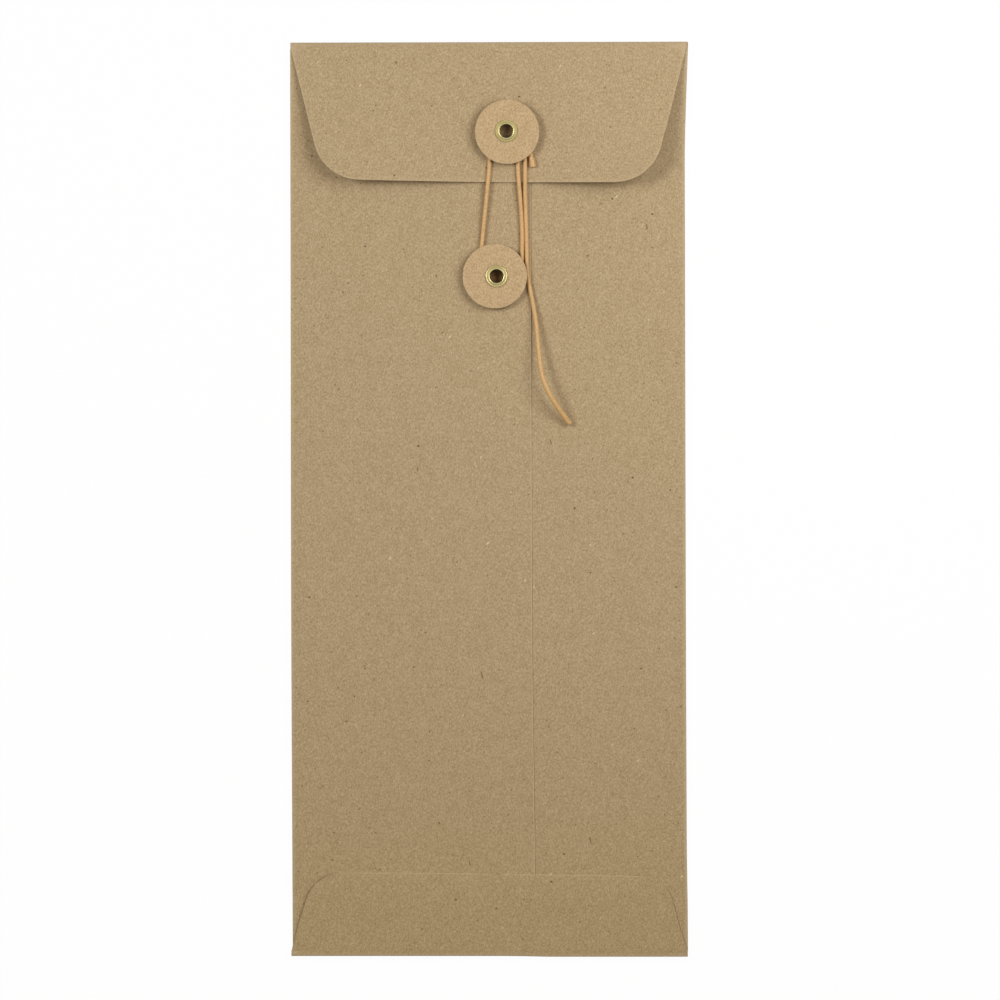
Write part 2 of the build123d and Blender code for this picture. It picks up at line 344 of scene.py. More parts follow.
def new_material(name):
    """An empty material with its Principled shader, and the tree that holds it."""
    material = bpy.data.materials.new(name)
    material.use_nodes = True
    tree = material.node_tree
    return material, tree, tree.nodes["Principled BSDF"]


def in_millimetres(tree, turn=0.0, stretch=(1, 1, 1)):
    """Object coordinates in millimetres, turned about Z and then squeezed along each axis."""
    place = add(tree, "ShaderNodeTexCoord", {})
    turned = add(tree, "ShaderNodeMapping", {"Vector": place.outputs["Object"], "Rotation": (0, 0, turn)})
    scale = [1 / (MM * s) for s in stretch]
    sized = add(tree, "ShaderNodeMapping", {"Vector": turned.outputs["Vector"], "Scale": scale})
    return sized.outputs["Vector"]


def specks(tree, spacing, size, kept, turn, length, shift):
    """A mask of scattered specks: spacing and size in mm, the share kept, and how long each is drawn out."""
    place = in_millimetres(tree, turn, (length, 1, 1))
    ragged = add(tree, "ShaderNodeTexNoise", {"Vector": place, "Scale": 1 / size, "Detail": 2.0})
    bent = add(
        tree,
        "ShaderNodeVectorMath",
        {0: ragged.outputs["Color"], 1: (size, size, 0.0), 2: place},
        operation="MULTIPLY_ADD",
    )
    away = (shift, 2 * shift, 0.0)
    moved = add(tree, "ShaderNodeVectorMath", {0: bent.outputs[0], 1: away}, operation="ADD")
    cells = add(
        tree,
        "ShaderNodeTexVoronoi",
        {"Vector": moved.outputs[0], "Scale": 1 / spacing},
        voronoi_dimensions="2D",
    )
    chance = add(tree, "ShaderNodeSeparateColor", {"Color": cells.outputs["Color"]}).outputs["Red"]
    reach = add(
        tree,
        "ShaderNodeMapRange",
        {"Value": chance, "From Min": 1 - kept, "From Max": 1.0, "To Min": 0.0, "To Max": size / spacing},
    ).outputs["Result"]
    inside = add(tree, "ShaderNodeMath", {0: reach, 1: cells.outputs["Distance"]}, operation="SUBTRACT")
    return add(
        tree,
        "ShaderNodeMapRange",
        {"Value": inside.outputs[0], "From Min": 0.0, "From Max": SPECK_RIM_SHARE * size / spacing},
    ).outputs["Result"]


def painted_hole_shade(tree, node):
    """A mask of painted shade on the spot of paper that an eyelet's bore shows, for the shade down the bore:
    full in its middle, with a soft rim. The envelope's outer back has none."""
    middle = middle_of(node) / MM
    place = in_millimetres(tree)
    parts = add(tree, "ShaderNodeSeparateXYZ", {"Vector": place})
    flat = add(tree, "ShaderNodeCombineXYZ", {"X": parts.outputs["X"], "Y": parts.outputs["Y"]})
    away = add(
        tree,
        "ShaderNodeVectorMath",
        {0: flat.outputs["Vector"], 1: (middle.x, middle.y, 0.0)},
        operation="DISTANCE",
    )
    spot = add(
        tree,
        "ShaderNodeMapRange",
        {"Value": away.outputs["Value"], "From Min": HOLE_SHADE_REACH[1] / MM, "From Max": HOLE_SHADE_REACH[0] / MM},
    )
    inside = add(
        tree,
        "ShaderNodeMath",
        {0: parts.outputs["Z"], 1: paper / 2 / MM},
        operation="GREATER_THAN",
    )
    return add(
        tree,
        "ShaderNodeMath",
        {0: spot.outputs["Result"], 1: inside.outputs[0]},
        operation="MULTIPLY",
    ).outputs[0]


def fibre_stock(name, dark, middle, light, speck_share):
    """Uncoated recycled stock: a matt felt of short fibres with bark specks, dark hairs and bleached flecks,
    with painted light and shade: a warmer tint towards the foot, shade on the paper seen down the eyelets, and
    pale and shaded cut edges.
    """
    material, tree, shader = new_material(name)
    level = in_millimetres(tree, stretch=GRAIN_STRETCH)
    place = add(tree, "ShaderNodeMapping", {"Vector": level, "Rotation": GRAIN_TILT}).outputs["Vector"]
    grain = add(tree, "ShaderNodeTexNoise", {"Vector": place, "Scale": 1 / GRAIN_SIZE, "Detail": 1.0})
    felt = add(tree, "ShaderNodeTexNoise", {"Vector": place, "Scale": 1 / FELT_SIZE, "Detail": 2.0})
    tone = add(
        tree,
        "ShaderNodeMath",
        {0: felt.outputs[0], 1: FELT_SHARE, 2: grain.outputs[0]},
        operation="MULTIPLY_ADD",
    )
    ramp = add(tree, "ShaderNodeValToRGB", {"Fac": tone.outputs[0]})
    ramp.color_ramp.elements[0].position = TONE_DARK
    ramp.color_ramp.elements[0].color = linear(dark)
    ramp.color_ramp.elements[1].position = TONE_LIGHT
    ramp.color_ramp.elements[1].color = linear(light)
    ramp.color_ramp.elements.new(TONE_MIDDLE).color = linear(middle)
    colour = ramp.outputs["Color"]

    for *pattern, tint, strength in SPECK_LAYERS:
        mask = specks(tree, *pattern)
        share = add(tree, "ShaderNodeMath", {0: mask, 1: strength * speck_share}, operation="MULTIPLY")
        mix = add(
            tree,
            "ShaderNodeMix",
            {"Factor": share.outputs[0], "A": colour, "B": linear(tint)},
            data_type="RGBA",
        )
        colour = mix.outputs["Result"]

    # Painted light: a warmer tint towards the foot
    height = add(tree, "ShaderNodeSeparateXYZ", {"Vector": in_millimetres(tree)}).outputs["Y"]
    foot = add(
        tree,
        "ShaderNodeMapRange",
        {"Value": height, "From Min": FOOT_LIGHT_TINT_Y[0] / MM, "From Max": FOOT_LIGHT_TINT_Y[1] / MM},
    )
    warmed = add(
        tree,
        "ShaderNodeMix",
        {"Factor": foot.outputs["Result"], "A": colour, "B": linear(FOOT_LIGHT_TINT)},
        data_type="RGBA",
        blend_type="MULTIPLY",
    )
    colour = warmed.outputs["Result"]
    # Painted shade on the spots of paper seen down the eyelets' bores
    for node, hole_shade_tint in HOLE_SHADE_TINTS.items():
        hole_shaded = add(
            tree,
            "ShaderNodeMix",
            {"Factor": painted_hole_shade(tree, node), "A": colour, "B": linear(hole_shade_tint)},
            data_type="RGBA",
            blend_type="MULTIPLY",
        )
        colour = hole_shaded.outputs["Result"]
    # Cut edges drawn pale: light torn fibres, with a painted highlight where the cut catches light. The second
    # mark is painted shade along a cut that stands off the sheet below
    for attribute, tint in (("cut_edge", light), ("edge_grime", EDGE_SHADE_TINT)):
        amount = add(tree, "ShaderNodeAttribute", {}, attribute_name=attribute)
        share = add(tree, "ShaderNodeMapRange", {"Value": amount.outputs["Fac"], "From Max": CUT_PALE})
        mix = add(
            tree,
            "ShaderNodeMix",
            {"Factor": share.outputs["Result"], "A": colour, "B": linear(tint)},
            data_type="RGBA",
        )
        colour = mix.outputs["Result"]
    tree.links.new(colour, shader.inputs["Base Color"])
    bump = add(
        tree,
        "ShaderNodeBump",
        {"Height": tone.outputs[0], "Distance": GRAIN_DEPTH, "Strength": GRAIN_RELIEF_SHARE},
    )
    tree.links.new(bump.outputs["Normal"], shader.inputs["Normal"])
    shader.inputs["Roughness"].default_value = 0.88
    shader.inputs["Specular IOR Level"].default_value = 0.25
    return material


def kraft_paper():
    """Recycled kraft, machine finished: a dull warm brown, finely grained, with visible flecks."""
    return fibre_stock("recycled_kraft_paper", "#968059", "#AF9976", "#C6B18F", 1.0)


def button_board():
    """Pressed kraft board, smoother and pinker than the sheet, with fewer flecks."""
    return fibre_stock("pressed_kraft_board", "#A38760", "#BCA17A", "#D1B891", 0.4)


def rolled_brass():
    """Stamped yellow brass: dull in its groove, bright where worn by rubbing, and down its bore painted shade,
    dark and not metal.
    """
    material, tree, shader = new_material("rolled_brass")
    place = in_millimetres(tree)
    smear = add(tree, "ShaderNodeTexNoise", {"Vector": place, "Scale": 1 / SMEAR_SIZE, "Detail": 3.0})
    ramp = add(tree, "ShaderNodeValToRGB", {"Fac": smear.outputs[0]})
    ramp.color_ramp.elements[0].color = linear("#8E8252")
    ramp.color_ramp.elements[1].color = linear("#A29668")
    colour = ramp.outputs["Color"]
    # The bore's mark is painted shade: dark, and not metal there
    for attribute, tint in (("polish", "#B0A377"), ("bore_grime", "#33210C")):
        amount = add(tree, "ShaderNodeAttribute", {}, attribute_name=attribute)
        mix = add(
            tree,
            "ShaderNodeMix",
            {"Factor": amount.outputs["Fac"], "A": colour, "B": linear(tint)},
            data_type="RGBA",
        )
        colour = mix.outputs["Result"]
    tree.links.new(colour, shader.inputs["Base Color"])
    polish = add(tree, "ShaderNodeAttribute", {}, attribute_name="polish")
    rough = add(
        tree,
        "ShaderNodeMapRange",
        {"Value": polish.outputs["Fac"], "To Min": DULL_ROUGHNESS, "To Max": RUBBED_ROUGHNESS},
    )
    tree.links.new(rough.outputs["Result"], shader.inputs["Roughness"])
    painted_shade = add(tree, "ShaderNodeAttribute", {}, attribute_name="bore_grime")
    bare = add(tree, "ShaderNodeMapRange", {"Value": painted_shade.outputs["Fac"], "To Min": 1.0, "To Max": 0.0})
    tree.links.new(bare.outputs["Result"], shader.inputs["Metallic"])
    return material


def waxed_cotton():
    """Waxed cotton cord: amber, a little glossy along its plies, with painted shade in the grooves between
    them.
    """
    material, tree, shader = new_material("waxed_cotton_cord")
    groove = add(tree, "ShaderNodeAttribute", {}, attribute_name="ply_groove")
    place = in_millimetres(tree)
    fluff = add(tree, "ShaderNodeTexNoise", {"Vector": place, "Scale": 1 / FLUFF_SIZE, "Detail": 4.0})
    # Painted shade in the grooves between the plies
    tone = add(
        tree,
        "ShaderNodeMath",
        {0: groove.outputs["Fac"], 1: GROOVE_SHADE, 2: fluff.outputs[0]},
        operation="MULTIPLY_ADD",
    )
    ramp = add(tree, "ShaderNodeValToRGB", {"Fac": tone.outputs[0]})
    ramp.color_ramp.elements[0].position = CORD_DARK
    ramp.color_ramp.elements[0].color = linear("#A67A47")
    ramp.color_ramp.elements[1].position = CORD_LIGHT
    ramp.color_ramp.elements[1].color = linear("#D5B07B")
    ramp.color_ramp.elements.new(CORD_MIDDLE).color = linear("#CAA26C")
    tree.links.new(ramp.outputs["Color"], shader.inputs["Base Color"])
    shader.inputs["Roughness"].default_value = 0.5
    shader.inputs["Specular IOR Level"].default_value = 0.4
    return material


def dried_glue():
    """Dried paper glue: a thin, milky, faintly glossy film."""
    material, tree, shader = new_material("dried_paper_glue")
    place = in_millimetres(tree)
    cloud = add(tree, "ShaderNodeTexNoise", {"Vector": place, "Scale": 1 / GLUE_CLOUD_SIZE, "Detail": 2.0})
    ramp = add(tree, "ShaderNodeValToRGB", {"Fac": cloud.outputs[0]})
    ramp.color_ramp.elements[0].color = linear("#B9AC8E")
    ramp.color_ramp.elements[1].color = linear("#D8CFB8")
    tree.links.new(ramp.outputs["Color"], shader.inputs["Base Color"])
    shader.inputs["Roughness"].default_value = 0.45
    return material


KRAFT = kraft_paper()
BOARD = button_board()
BRASS = rolled_brass()
WAXED = waxed_cotton()
GLUE = dried_glue()


# Sheet building


def new_piece(name, bm, material):
    """A finished bmesh as an object at the origin, in its material."""
    mesh = bpy.data.meshes.new(name)
    bm.to_mesh(mesh)
    bm.free()
    mesh.shade_smooth()
    mesh.materials.append(material)
    piece = bpy.data.objects.new(name, mesh)
    bpy.context.scene.collection.objects.link(piece)
    return piece


def straight_edge(start, end):
    """A bmesh with one edge, and that edge in a list."""
    bm = bmesh.new()
    edge = bm.edges.new((bm.verts.new(start), bm.verts.new(end)))
    return bm, [edge]


def pull(bm, edges, move):
    """Draws edges out into a flat strip; returns the strip's far edges."""
    grown = bmesh.ops.extrude_edge_only(bm, edges=edges)["geom"]
    verts = [part for part in grown if isinstance(part, bmesh.types.BMVert)]
    bmesh.ops.translate(bm, vec=move, verts=verts)
    return [part for part in grown if isinstance(part, bmesh.types.BMEdge) and set(part.verts) <= set(verts)]


def roll(bm, edges, centre, axis, angle):
    """Draws edges round a fold; returns the far edges."""
    verts = list({vert for edge in edges for vert in edge.verts})
    last = bmesh.ops.spin(
        bm, geom=verts + edges, cent=centre, axis=axis, angle=angle, steps=FOLD_STEPS, use_duplicate=False
    )["geom_last"]
    return [part for part in last if isinstance(part, bmesh.types.BMEdge)]


def slice_sheet(bm, direction, first, last):
    """Cuts a sheet square to a direction into cells of about the sheet's cell size."""
    count = max(1, round((last - first) / SHEET_CELL))
    for i in range(1, count):
        place = first + (last - first) * i / count
        everything = bm.verts[:] + bm.edges[:] + bm.faces[:]
        bmesh.ops.bisect_plane(
            bm, geom=everything, plane_co=direction * place, plane_no=direction, dist=MERGE_DISTANCE
        )


def outward_up(bm):
    """Turns a sheet's faces all one way, so that its highest one looks up."""
    bmesh.ops.recalc_face_normals(bm, faces=bm.faces[:])
    bm.normal_update()
    highest = max(bm.faces, key=lambda face: face.calc_center_median().z)
    if highest.normal.z < 0:
        bmesh.ops.reverse_faces(bm, faces=bm.faces[:])


def rim_sheet(bm):
    """Adds the narrow band of faces along a sheet's boundary that shows the cut."""
    bmesh.ops.inset_region(
        bm, faces=bm.faces[:], thickness=CUT_EDGE, use_boundary=True, use_even_offset=True
    )


def sharpen_fold(bm, direction, axis_reach, fold_radius, foot_pale=0.0):
    """Draws a rolled fold out square, so that it turns in a tight crease at its outermost line, worn a little
    pale, and drawn paler still towards the foot by the share it is given."""
    pale = bm.verts.layers.float["cut_edge"]
    for vert in bm.verts:
        out = vert.co.dot(direction) - axis_reach
        if out > FOLD_CREASE_SHARE * fold_radius:
            vert.co += direction * (fold_radius * (out / fold_radius) ** FOLD_SHARPNESS - out)
            vert[pale] = FOLD_WEAR + foot_pale * smoothstep(*FOLD_FOOT_PALE_Y, vert.co.y)


def mark_cuts(bm, shade):
    """Marks the boundary points that are cut edges, above 0 for light torn fibres with a painted highlight
    where the cut catches light, and below 0 for painted shade where the cut stands off the sheet below, and
    rolls them down a little."""
    pale = bm.verts.layers.float.new("cut_edge")
    painted_shade = bm.verts.layers.float.new("edge_grime")
    for vert in bm.verts:
        amount = shade(vert.co) if vert.is_boundary else 0.0
        if amount:
            vert[pale] = max(0.0, amount)
            vert[painted_shade] = max(0.0, -amount)
            vert.co.z -= CUT_DROP


def punch_hole(bm, centre, radius):
    """Takes out the faces round a point and fills the gap again up to a round hole."""
    field = HOLE_FIELD_SHARE * SHEET_CELL
    near = [f for f in bm.faces if (f.calc_center_median().xy - centre.xy).length < field]
    level = max(f.calc_center_median().z for f in near)
    near = [f for f in near if abs(f.calc_center_median().z - level) < paper]
    rim = [e for f in near for e in f.edges if sum(g in near for g in e.link_faces) == 1]
    bmesh.ops.delete(bm, geom=near, context="FACES_ONLY")
    inner = [e for e in bm.edges if e.is_wire]
    bmesh.ops.delete(bm, geom=inner, context="EDGES")
    loose = [v for v in bm.verts if not v.link_edges]
    bmesh.ops.delete(bm, geom=loose, context="VERTS")
    here = Matrix.Translation((centre.x, centre.y, level))
    hole = bmesh.ops.create_circle(bm, segments=HOLE_SIDES, radius=radius, matrix=here)["verts"]
    ring = list({e for v in hole for e in v.link_edges})
    bmesh.ops.triangle_fill(bm, edges=[e for e in rim if e.is_valid] + ring, normal=UP, use_beauty=True)
    outward_up(bm)


def thicken(piece, levels=0):
    """Gives a sheet its paper thickness, inward from its outer face, with crisp cut edges."""
    if levels:
        smooth = piece.modifiers.new("smooth", "SUBSURF")
        smooth.levels = levels
        smooth.render_levels = levels
        smooth.boundary_smooth = "PRESERVE_CORNERS"
    wall = piece.modifiers.new("paper", "SOLIDIFY")
    wall.thickness = paper
    wall.offset = -1.0
    crisp = piece.modifiers.new("cut", "EDGE_SPLIT")
    crisp.split_angle = CRISP_ANGLE
    return piece


def smoothstep(start, end, value):
    """0 up to the start, 1 past the end, which may lie below it, and soft at both."""
    t = min(1.0, max(0.0, (value - start) / (end - start)))
    return t * t * (3 - 2 * t)


def flap_outline(y_root, y_edge, z, half_width, side_angle, corner_radius, bow):
    """One face, full width at its root and drawn in to an edge with round corners; returns it and its root."""
    bm = bmesh.new()
    reach = abs(y_edge - y_root) - bow
    edge_x = half_width - reach * math.tan(side_angle)
    edge_y = y_root + math.copysign(reach, y_edge - y_root)
    places = ((-half_width, y_root), (half_width, y_root), (edge_x, edge_y), (-edge_x, edge_y))
    corners = [bm.verts.new((x, y, z)) for x, y in places]
    bm.faces.new(corners)
    bmesh.ops.bevel(
        bm,
        geom=corners[2:],
        offset=corner_radius / math.tan((math.pi / 2 + side_angle) / 2),
        offset_type="OFFSET",
        affect="VERTICES",
        segments=CORNER_SEGMENTS,
        profile=0.5,
        material=-1,
    )
    rim_sheet(bm)
    at_root = {v for v in bm.verts if abs(v.co.y - y_root) < CUT_EDGE / 2}
    root = [e for e in bm.edges if e.is_boundary and at_root.issuperset(e.verts)]
    return bm, root


def set_flap(bm, y_root, y_edge, bow, turn, shift, skew=0.0):
    """Bows a flap's free edge outwards, then gives the flap the turn, shift and skew it was folded with."""
    reach = abs(y_edge - y_root)
    half_edge = max(abs(vert.co.x) for vert in bm.verts if abs(vert.co.y - y_root) > reach / 2)
    for vert in bm.verts:
        depth = max(0.0, (vert.co.y - y_root) / (y_edge - y_root))
        across = max(0.0, 1 - (vert.co.x / half_edge) ** 2)
        share = min(1.0, depth)
        vert.co.y += math.copysign(bow * depth * across, y_edge - y_root) - turn * vert.co.x * share
        vert.co.x += shift + turn * (vert.co.y - y_root) * share + skew * (1 - share)


def settle(bm):
    """Moves a sheet's points to where the folded blank has them, a little out of square."""
    for vert in bm.verts:
        place = vert.co
        right = smoothstep(FLARE_INNER_X, side_x, place.x)
        rise = max(0.0, (place.y - TOP_FLARE_START_Y) / (fold_crest_y - TOP_FLARE_START_Y))
        foot = 1 - smoothstep(*FOOT_FLARE_Y, place.y)
        drop = 1 - smoothstep(bottom_axis_y, bottom_axis_y + FOOT_REACH, place.y)
        bow = smoothstep(FLARE_INNER_X, side_x, abs(place.x))
        bow *= math.exp(-(((place.y - SIDE_BOW_Y) / SIDE_BOW_REACH) ** 2))
        place.y -= drop * (FOOT_SLOPE * place.x + FOOT_STEP * smoothstep(*FOOT_STEP_X, place.x))
        place.x += right * (TOP_FLARE * rise**TOP_FLARE_CURVE + FOOT_FLARE * foot)
        place.x -= bow * (SIDE_BOW - math.copysign(SIDE_SWELL, place.x))


# Sheets


def back_sheet():
    """The plain back, between the strips that belong to the folds."""
    y_top = top_axis_y - JOIN_STRIP
    inner_x = side_axis_x - JOIN_STRIP
    bm, foot = straight_edge((-inner_x, foot_y, 0), (inner_x, foot_y, 0))
    pull(bm, foot, ALONG * (y_top - foot_y))
    slice_sheet(bm, ALONG, foot_y, y_top)
    slice_sheet(bm, ACROSS, -inner_x, inner_x)
    outward_up(bm)
    bmesh.ops.reverse_faces(bm, faces=bm.faces[:])
    settle(bm)
    piece = thicken(new_piece("back_sheet", bm, KRAFT))
    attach(piece, "back")
    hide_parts("back_panel")


def seam_lift(co):
    """The seam's free edge stands a little off the panel below it, under the string's tail."""
    along = math.exp(-(((co.y - SEAM_LIFT_Y) / SEAM_LIFT_REACH) ** 2))
    return SEAM_LIFT * along * smoothstep(seam_x - SEAM_LIFT_WIDTH, seam_x, co.x)


def bend_seam(bm, share):
    """Leans the seam to the right towards the foot; share says how far each point goes along."""
    for vert in bm.verts:
        vert.co.x += SEAM_BEND * smoothstep(*SEAM_BEND_Y, vert.co.y) * share(vert.co.x)


def raise_shoulder(bm):
    """Draws a side sheet's top end up to the top fold beside the side fold, lays it against the flap, and on
    the right tucks its end into the top fold."""
    end_y = mouth_y - CUT_EDGE / 2
    for vert in bm.verts:
        side = smoothstep(*SHOULDER_X, abs(vert.co.x))
        if vert.co.z > paper:
            vert.co.z += SHOULDER_RISE * side * smoothstep(*SHOULDER_Y, vert.co.y)
        top = smoothstep(mouth_y - SHEET_CELL, mouth_y, vert.co.y)
        tucked = side if vert.is_boundary and vert.co.x > 0 and vert.co.y > end_y else 0.0
        vert.co.y += (top_axis_y - JOIN_STRIP - mouth_y) * side * top + SHOULDER_TUCK * tucked
        vert.co.z *= 1 - SHOULDER_TUCK_SINK_SHARE * tucked


def left_sheet():
    """The left side fold and the front panel that lies on top at the seam."""
    fold_radius = front_top / 2
    bm, edge = straight_edge((JOIN_STRIP - side_axis_x, foot_y, 0), (JOIN_STRIP - side_axis_x, mouth_y, 0))
    edge = pull(bm, edge, ACROSS * -JOIN_STRIP)
    edge = roll(bm, edge, (-side_axis_x, 0, fold_radius), ALONG, math.pi)
    pull(bm, edge, ACROSS * (seam_x + SEAM_SHIFT + side_axis_x))
    rim_sheet(bm)
    slice_sheet(bm, ALONG, foot_y, mouth_y)
    slice_sheet(bm, ACROSS, -side_axis_x, seam_x)
    outward_up(bm)
    punch_hole(bm, middle_of("pocket_eyelet"), EYELET_TUBE)
    for vert in bm.verts:
        vert.co.z += seam_lift(vert.co)
    mark_cuts(bm, lambda co: CUT_PALE if co.z > front_top - paper else 0.0)
    sharpen_fold(bm, -ACROSS, side_axis_x, fold_radius)
    bend_seam(bm, lambda x: smoothstep(seam_x - SEAM_BEND_WIDTH, seam_x, x))
    raise_shoulder(bm)
    settle(bm)
    piece = thicken(new_piece("left_sheet", bm, KRAFT))
    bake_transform(piece, "back", "front", start=(-side_x, 0, 0), end=(LEFT_BEND_END, 0, 0))
    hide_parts("left_panel", "left_fold")


def right_sheet():
    """The right side fold and the front panel that steps down and tucks under the seam."""
    fold_radius = front_top / 2
    bm, edge = straight_edge((side_axis_x - JOIN_STRIP, foot_y, 0), (side_axis_x - JOIN_STRIP, mouth_y, 0))
    edge = pull(bm, edge, ACROSS * JOIN_STRIP)
    edge = roll(bm, edge, (side_axis_x, 0, fold_radius), ALONG, -math.pi)
    edge = pull(bm, edge, ACROSS * (step_head - side_axis_x))
    step_drop = front_top - (tuck_low.z + paper)
    step_run = step_head - seam_x - SEAM_SHIFT - STEP_CLEARANCE
    edge = pull(bm, edge, (STEP_FACE_RUN - step_run, 0, STEP_FACE_DROP - step_drop))
    edge = pull(bm, edge, (-STEP_FACE_RUN, 0, -STEP_FACE_DROP))
    pull(bm, edge, ACROSS * (tuck_low.x - step_head + step_run))
    rim_sheet(bm)
    slice_sheet(bm, ALONG, foot_y, mouth_y)
    slice_sheet(bm, ACROSS, step_head, side_axis_x)
    outward_up(bm)
    mark_cuts(bm, lambda co: CUT_PALE if co.z > tuck_low.z else 0.0)
    sharpen_fold(bm, ACROSS, side_axis_x, fold_radius, RIGHT_FOLD_FOOT_PALE)
    bend_seam(bm, lambda x: 1 - smoothstep(step_head, step_head + SEAM_BEND_WIDTH, x))
    raise_shoulder(bm)
    settle(bm)
    piece = thicken(new_piece("right_sheet", bm, KRAFT))
    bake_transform(piece, "back", "front", start=(side_x, 0, 0), end=(RIGHT_BEND_END, 0, 0))
    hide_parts("right_panel", "seam_tuck", "right_fold")


def bottom_cut(co):
    """How the bottom flap's cut edge shows: painted shade along its left, pale along its top with light fibres
    and a painted highlight, and faint on the right.
    """
    if co.y < bottom_axis_y or co.z < bottom_flap_top / 2 or abs(co.x - BOTTOM_MIDDLE) < CUT_EDGE / 2:
        return 0.0
    left = smoothstep(*BOTTOM_SHADE_X, -co.x) * smoothstep(*BOTTOM_SHADE_Y, co.y)
    right = smoothstep(*BOTTOM_SHADE_X, co.x) * BOTTOM_SHADE_RIGHT
    return BOTTOM_PALE_SHARE - (left + right)


def bottom_flap_sheet(side):
    """Half of the glued bottom flap with its fold; each half bends with the panel that it is glued to."""
    fold_radius = bottom_flap_top / 2
    edge_y = bottom_high.y + BOTTOM_RAISE
    bm, root = flap_outline(
        bottom_axis_y,
        edge_y,
        bottom_flap_top,
        BOTTOM_HALF_WIDTH,
        BOTTOM_SIDE_ANGLE,
        BOTTOM_CORNER_RADIUS,
        BOTTOM_BOW,
    )
    edge = roll(bm, root, (0, bottom_axis_y, fold_radius), ACROSS, math.pi)
    pull(bm, edge, ALONG * (foot_y - bottom_axis_y))
    slice_sheet(bm, ACROSS, -BOTTOM_HALF_WIDTH, BOTTOM_HALF_WIDTH)
    slice_sheet(bm, ALONG, bottom_axis_y, edge_y)
    set_flap(bm, bottom_axis_y, edge_y, BOTTOM_BOW, BOTTOM_TURN, BOTTOM_SHIFT, BOTTOM_SKEW)
    for vert in bm.verts:
        near_fold = 1 - smoothstep(bottom_axis_y, bottom_axis_y + BOTTOM_SQUARE_REACH, vert.co.y)
        vert.co.x += BOTTOM_SQUARE * near_fold
    everything = bm.verts[:] + bm.edges[:] + bm.faces[:]
    bmesh.ops.bisect_plane(
        bm,
        geom=everything,
        plane_co=ACROSS * BOTTOM_MIDDLE,
        plane_no=ACROSS,
        clear_inner=side > 0,
        clear_outer=side < 0,
    )
    outward_up(bm)
    mark_cuts(bm, bottom_cut)
    sharpen_fold(bm, -ALONG, -bottom_axis_y, fold_radius)
    settle(bm)
    name = "bottom_flap_right" if side > 0 else "bottom_flap_left"
    piece = thicken(new_piece(name, bm, KRAFT))
    inner_end = RIGHT_BEND_END if side > 0 else LEFT_BEND_END
    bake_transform(piece, "back", "front", start=(side * side_x, 0, 0), end=(inner_end, 0, 0))
    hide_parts("bottom_flap", "bottom_fold", "bottom_glue")


def flap_lift(co):
    """How far the closure flap springs up at its corners and curls at its edge, clear of where the string
    holds it down."""
    lift, start_x = (LEFT_LIFT, LIFT_START_LEFT) if co.x < 0 else (RIGHT_LIFT, LIFT_START_RIGHT)
    start_y = top_axis_y - LIFT_START_DEPTH
    out = max(0.0, (abs(co.x) - start_x) / (side_x - start_x))
    down = max(0.0, (start_y - co.y) / (start_y - flap_low.y))
    curl = max(0.0, 1 - (co.y - flap_low.y) / EDGE_CURL_REACH) ** 2
    free = smoothstep(*STRING_HOLD_REACH, abs(co.x - STRING_HOLD_X))
    return lift * (out * down) ** LIFT_CURVE + EDGE_CURL * curl * free


def closure_flap_sheet():
    """The closure flap and the top fold that it swings on. Three rows of points make the fold, so that it
    opens cleanly."""
    fold_radius = flap_top / 2
    edge_y = flap_low.y + FLAP_TRIM
    bm, root = flap_outline(
        top_axis_y,
        edge_y,
        flap_top,
        FLAP_HALF_WIDTH,
        FLAP_SIDE_ANGLE,
        FLAP_CORNER_RADIUS,
        FLAP_BOW,
    )
    crest_reach = FOLD_CREST_SHARE * fold_radius
    edge = pull(bm, root, (0, crest_reach, -fold_radius))
    edge = pull(bm, edge, (0, -crest_reach, -fold_radius))
    pull(bm, edge, ALONG * -JOIN_STRIP)
    for vert in bm.verts:
        if vert.co.z < flap_top - paper:
            vert.co.x += math.copysign(FOLD_OVERHANG, vert.co.x) + FOLD_SHIFT
        if vert.co.y > top_axis_y:
            vert.co.y -= FOLD_DROP + FOLD_SLOPE * (vert.co.x + side_x)
    slice_sheet(bm, ACROSS, -FLAP_HALF_WIDTH, FLAP_HALF_WIDTH)
    slice_sheet(bm, ALONG, edge_y, top_axis_y)
    outward_up(bm)
    set_flap(bm, top_axis_y, edge_y, FLAP_BOW, FLAP_TURN, FLAP_SHIFT)
    punch_hole(bm, middle_of("flap_eyelet"), EYELET_TUBE)
    for vert in bm.verts:
        if vert.co.z > flap_top - paper:
            vert.co.z += flap_lift(vert.co)
    mark_cuts(bm, lambda co: FLAP_PALE_SHARE if co.z > fold_radius else 0.0)
    pale = bm.verts.layers.float["cut_edge"]
    for vert in bm.verts:
        if vert.co.y > top_axis_y + paper:
            vert[pale] = FOLD_WEAR
    piece = thicken(new_piece("closure_flap_sheet", bm, KRAFT), FLAP_SMOOTHING)
    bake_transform(piece, "back", "flap", start=(0, 0, 0), end=(0, 0, flap_top))
    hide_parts("closure_flap", "top_fold")


# Buttons and eyelets


